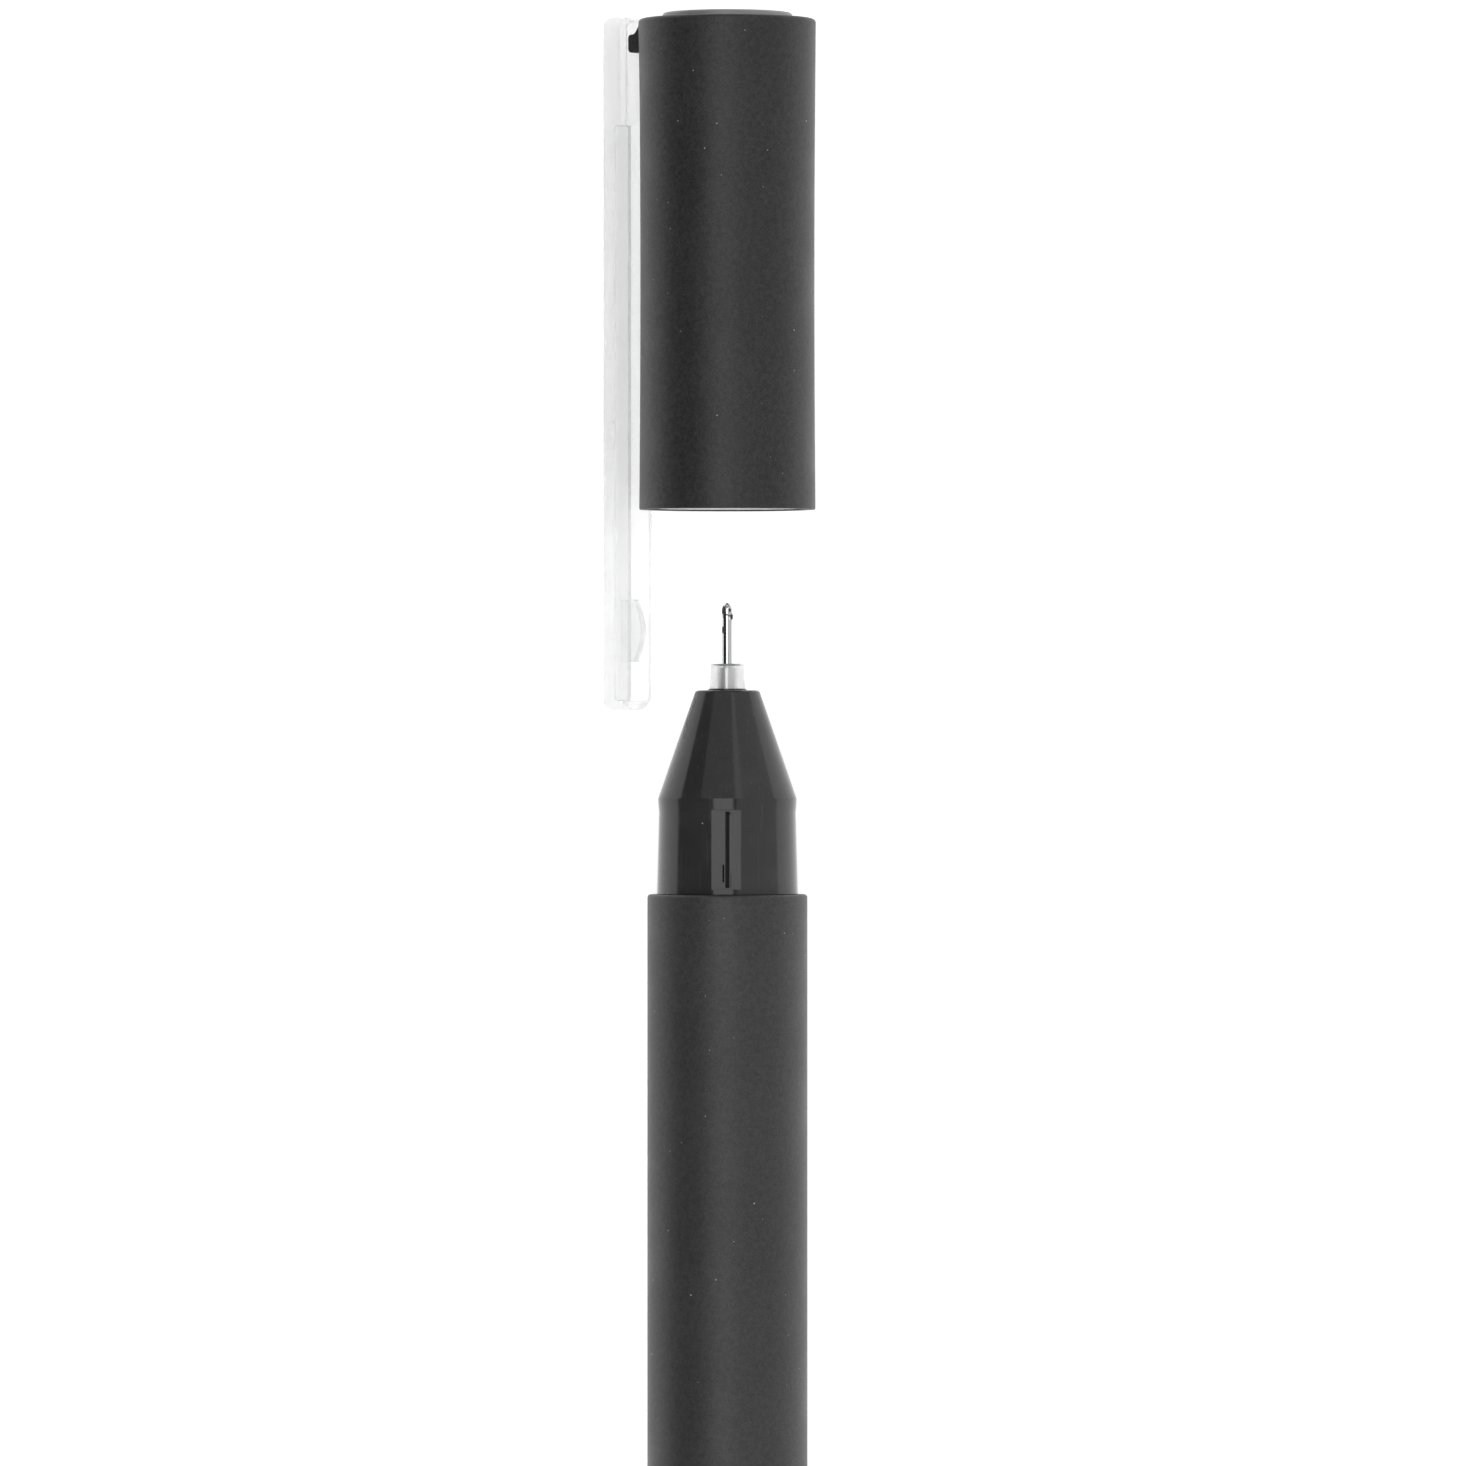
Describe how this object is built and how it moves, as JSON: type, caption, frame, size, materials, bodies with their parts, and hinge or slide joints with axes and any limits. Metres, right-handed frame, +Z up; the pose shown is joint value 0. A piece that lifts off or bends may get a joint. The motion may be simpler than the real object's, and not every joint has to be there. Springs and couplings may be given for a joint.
{
  "type": "technical pen",
  "caption": "Needle-point drawing pen with a matt black barrel and its clip cap pulled off in line with the tip.",
  "frame": {"origin": "on the pen's axis, at the flat face of the barrel's tail", "axes": "+X along the pen's axis from the tail to the tip and on to the cap, +Z up, with the pen and its cap lying on their side; the clip points to +Y and a little downwards"},
  "size_m": [0.164, 0.0134, 0.011],
  "materials": {
    "soft_black": "matt soft-touch coating",
    "gloss_black": "polished moulded plastic",
    "milky_clear": "translucent moulded plastic",
    "crown_grey": "satin moulded plastic",
    "steel": "polished drawn tube",
    "ball_metal": "mirror ground",
    "tube_clear": "translucent extruded tube",
    "ink_black": "wet gel",
    "follower_grease": "clear grease",
    "seal_rubber": "soft elastomer"
  },
  "bodies": {
    "pen": {"barrel": "soft_black", "barrel_end_plug": "gloss_black", "nose_section": "gloss_black", "refill_tube": "tube_clear", "refill_tail_plug": "milky_clear", "gel_ink": "ink_black", "ink_follower": "follower_grease", "tip_holder": "milky_clear", "needle_socket": "steel", "needle_tube": "steel"},
    "ball": {"writing_ball": "ball_metal"},
    "cap": {"cap_sleeve": "soft_black", "cap_liner": "milky_clear", "inner_seal_cup": "milky_clear", "tip_pad": "seal_rubber", "cap_crown": "crown_grey"},
    "clip": {"clip": "milky_clear"}
  },
  "joints": [
    {"name": "cap_slide", "type": "slide", "parent": "pen", "child": "cap", "axis": [1, 0, 0], "range_m": [-0.024, 0.02]},
    {"name": "clip_flex", "type": "hinge", "parent": "cap", "child": "clip", "pos_m": [0.16262, 0.00547, -0.00324], "axis": [0, -0.509, -0.8607], "range_deg": [0, 4], "stiffness_Nm_per_rad": 1.5},
    {"name": "ball_roll", "type": "hinge", "parent": "pen", "child": "ball", "pos_m": [0.12695, 0, 0], "axis": [0, 1, 0], "continuous": true}
  ]
}
